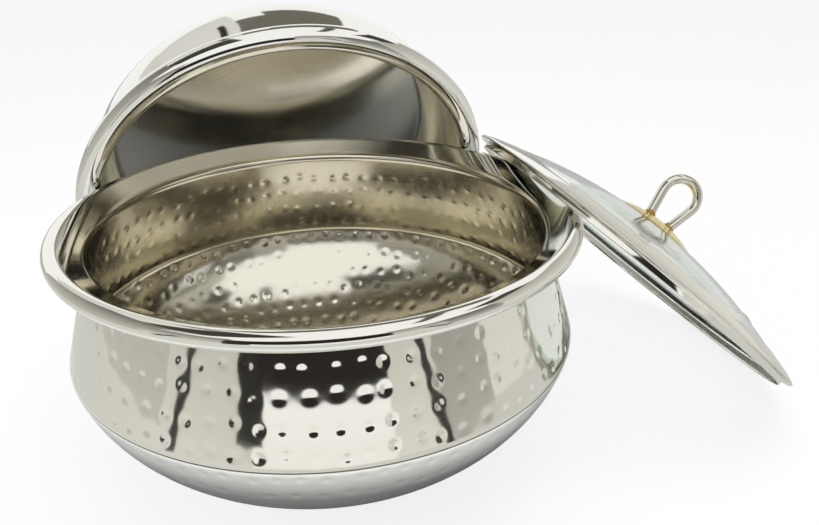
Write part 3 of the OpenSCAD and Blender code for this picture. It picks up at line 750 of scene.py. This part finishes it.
# In the metal the table's colour is dark close to the pot, a painted shadow, light round it and grey farther
# away
where = add(tree, "ShaderNodeTexCoord").outputs["Object"]
reach = add(tree, "ShaderNodeVectorMath", {0: where}, operation="LENGTH").outputs["Value"]
painted_shadow_reach, light_reach, far_reach = 0.12, 0.20, 0.30
ring = add(tree, "ShaderNodeValToRGB", {"Fac": reach})
stops = ring.color_ramp.elements
stops[0].position, stops[1].position = painted_shadow_reach, light_reach
stops[0].color, stops[1].color = linear("#9EA0A4"), linear("#EEF0F3")
stops.new(far_reach).color = linear("#C6C6C2")
pale = linear("#F4F4F4")
tone = add(tree, "ShaderNodeMixRGB", {0: rays["Is Glossy Ray"], 1: pale, 2: ring.outputs[0]})
matt = add(tree, "ShaderNodeBsdfDiffuse", {"Color": tone.outputs[0]})
shown = add(tree, "ShaderNodeMixShader", {0: seen, 1: matt.outputs[0], 2: glow.outputs[0]})
add(tree, "ShaderNodeOutputMaterial", {"Surface": shown.outputs[0]})
table_mesh.materials.append(table_paint)

# Surround: white where it is seen directly, in metal or through glass, and a soft even light elsewhere
world = bpy.data.worlds.new("white_surround")
bpy.context.scene.world = world
world.use_nodes = True
tree = world.node_tree
tree.nodes.clear()
rays = add(tree, "ShaderNodeLightPath").outputs
seen = either(tree, rays["Is Camera Ray"], rays["Is Transmission Ray"])
seen = either(tree, seen, rays["Is Glossy Ray"])
level = add(tree, "ShaderNodeMapRange", {"Value": seen, "To Min": 0.6, "To Max": 1.0}).outputs[0]
light = add(tree, "ShaderNodeBackground", {"Color": (1, 1, 1, 1), "Strength": level})
add(tree, "ShaderNodeOutputWorld", {"Surface": light.outputs[0]})


# Lamps: a large soft box overhead and one to the left, at a plain level.
# The metal mirrors the boards below in their stead.
def soft_box(name, place, aim, width, height, power):
    data = bpy.data.lights.new(name, "AREA")
    data.shape = "RECTANGLE"
    data.size, data.size_y = width, height
    data.energy = power
    lamp = linked(name, data)
    lamp.location = place
    lamp.rotation_euler = (Vector(aim) - Vector(place)).to_track_quat("-Z", "Y").to_euler()
    lamp.visible_glossy = False


soft_box("overhead_box", (0.1, -0.2, 1.5), (0.05, 0.0, 0.1), 1.4, 1.0, 14)
soft_box("left_box", (-1.3, -0.5, 0.8), (0, 0, 0.1), 0.9, 0.9, 7)


# Boards round the set, out of the picture, that only metal and glass mirror: a dark ceiling behind,
# dark roofs, grey walls that darken upwards, a dark opening in front and thin slanting strips
ceiling_height, roof_height = 1.3, 1.2
opening_distance, opening_low, opening_high = 0.60, 0.110, 0.35
strip_distance, strip_height, wall_distance, wall_height = 0.62, 0.20, 0.72, 0.5


def board(name, corners, low_colour, high_colour):
    mesh = bpy.data.meshes.new(name)
    mesh.from_pydata([Vector(c) for c in corners], [], [(0, 1, 2, 3)])
    tones = linear(low_colour) * 2 + linear(high_colour or low_colour) * 2
    mesh.attributes.new("tone", "FLOAT_COLOR", "POINT").data.foreach_set("color", tones)
    paint = bpy.data.materials.new(name + "_paint")
    paint.use_nodes = True
    paint.node_tree.nodes.clear()
    tone = add(paint.node_tree, "ShaderNodeAttribute", attribute_name="tone").outputs["Color"]
    flat = add(paint.node_tree, "ShaderNodeEmission", {"Color": tone, "Strength": 1.0})
    add(paint.node_tree, "ShaderNodeOutputMaterial", {"Surface": flat.outputs[0]})
    mesh.materials.append(paint)
    piece = linked(name, mesh)
    for kind in ("camera", "diffuse", "shadow", "transmission"):
        setattr(piece, "visible_" + kind, False)


def overhead(name, across, along, height, front_colour, back_colour=None):
    """A level board between two x and two y values; without a second colour it is plain."""
    corners = [(across[0], along[0], height), (across[1], along[0], height),
               (across[1], along[1], height), (across[0], along[1], height)]
    board(name, corners, front_colour, back_colour)


def upright(name, bearings, heights, distance, low_colour, high_colour=None, slant=0):
    """A board between two bearings, counted from the front to the right; its top is shifted by the slant."""
    corners = []
    for bearing, height in zip((bearings[0], bearings[1], bearings[1] + slant, bearings[0] + slant),
                               (heights[0], heights[0], heights[1], heights[1])):
        a = math.radians(bearing)
        corners.append((distance * math.sin(a), -distance * math.cos(a), height))
    board(name, corners, low_colour, high_colour)


overhead("ceiling_back", (-0.2, 0.8), (0.35, 0.92), ceiling_height, "#716F66")
overhead("ceiling_far", (0.06, 0.8), (0.92, 1.25), ceiling_height, "#716F66")
overhead("ceiling_left", (-1.5, -0.2), (0.35, 2.0), ceiling_height, "#E4E3DE", "#D8D7D2")
overhead("ceiling_seam", (-0.38, -0.31), (0.4, 0.9), ceiling_height - 0.01, "#24221F")
overhead("roof_left", (-1.1, -0.3), (-0.6, 0.3), roof_height, "#3E3C38", "#4A4843")
overhead("roof_right", (0.85, 1.6), (-0.6, 0.3), roof_height, "#3E3C38", "#4A4843")
overhead("roof_strip", (0.40, 0.50), (-0.6, 0.3), roof_height, "#56544D")
overhead("roof_far_left", (-2.2, -1.1), (-0.6, 2.0), roof_height, "#CFCEC9", "#DAD9D4")
upright("opening_left", (-44.5, -34), (0.05, opening_high), opening_distance, "#32302D")
upright("opening", (-38, 10), (opening_low, opening_high), opening_distance, "#2B2826")
upright("opening_warm", (-19, -6), (opening_low + 0.003, opening_high), opening_distance - 0.01, "#857061")
upright("low_front", (-38, 10), (0.0, opening_low), opening_distance + 0.01, "#F2F1EA", "#FFFFFF")
upright("seam_left", (-71.5, -68), (0.0, strip_height), strip_distance, "#363532", slant=10)
upright("seam_right", (29, 32.5), (0.0, strip_height), strip_distance, "#363532", slant=-9.5)
upright("seam_far_right", (71, 74), (0.0, strip_height), strip_distance + 0.04, "#504E49", slant=-3)
upright("wall_left", (-75, -44), (0.0, wall_height), wall_distance - 0.02, "#DEDED7", "#7C7A74")
upright("wall_far_left", (-130, -75), (0.0, wall_height + 0.3), wall_distance, "#C6C5BD", "#6E6C66")
upright("wall_middle", (10, 30), (0.0, wall_height), wall_distance, "#E6E5DE", "#8A8882")
upright("wall_right", (30, 53), (0.0, wall_height), wall_distance, "#B6B5AE", "#5E5C57")
upright("wall_far_right", (53, 130), (0.0, wall_height + 0.1), wall_distance, "#E4E3DC", "#B2B1AA")
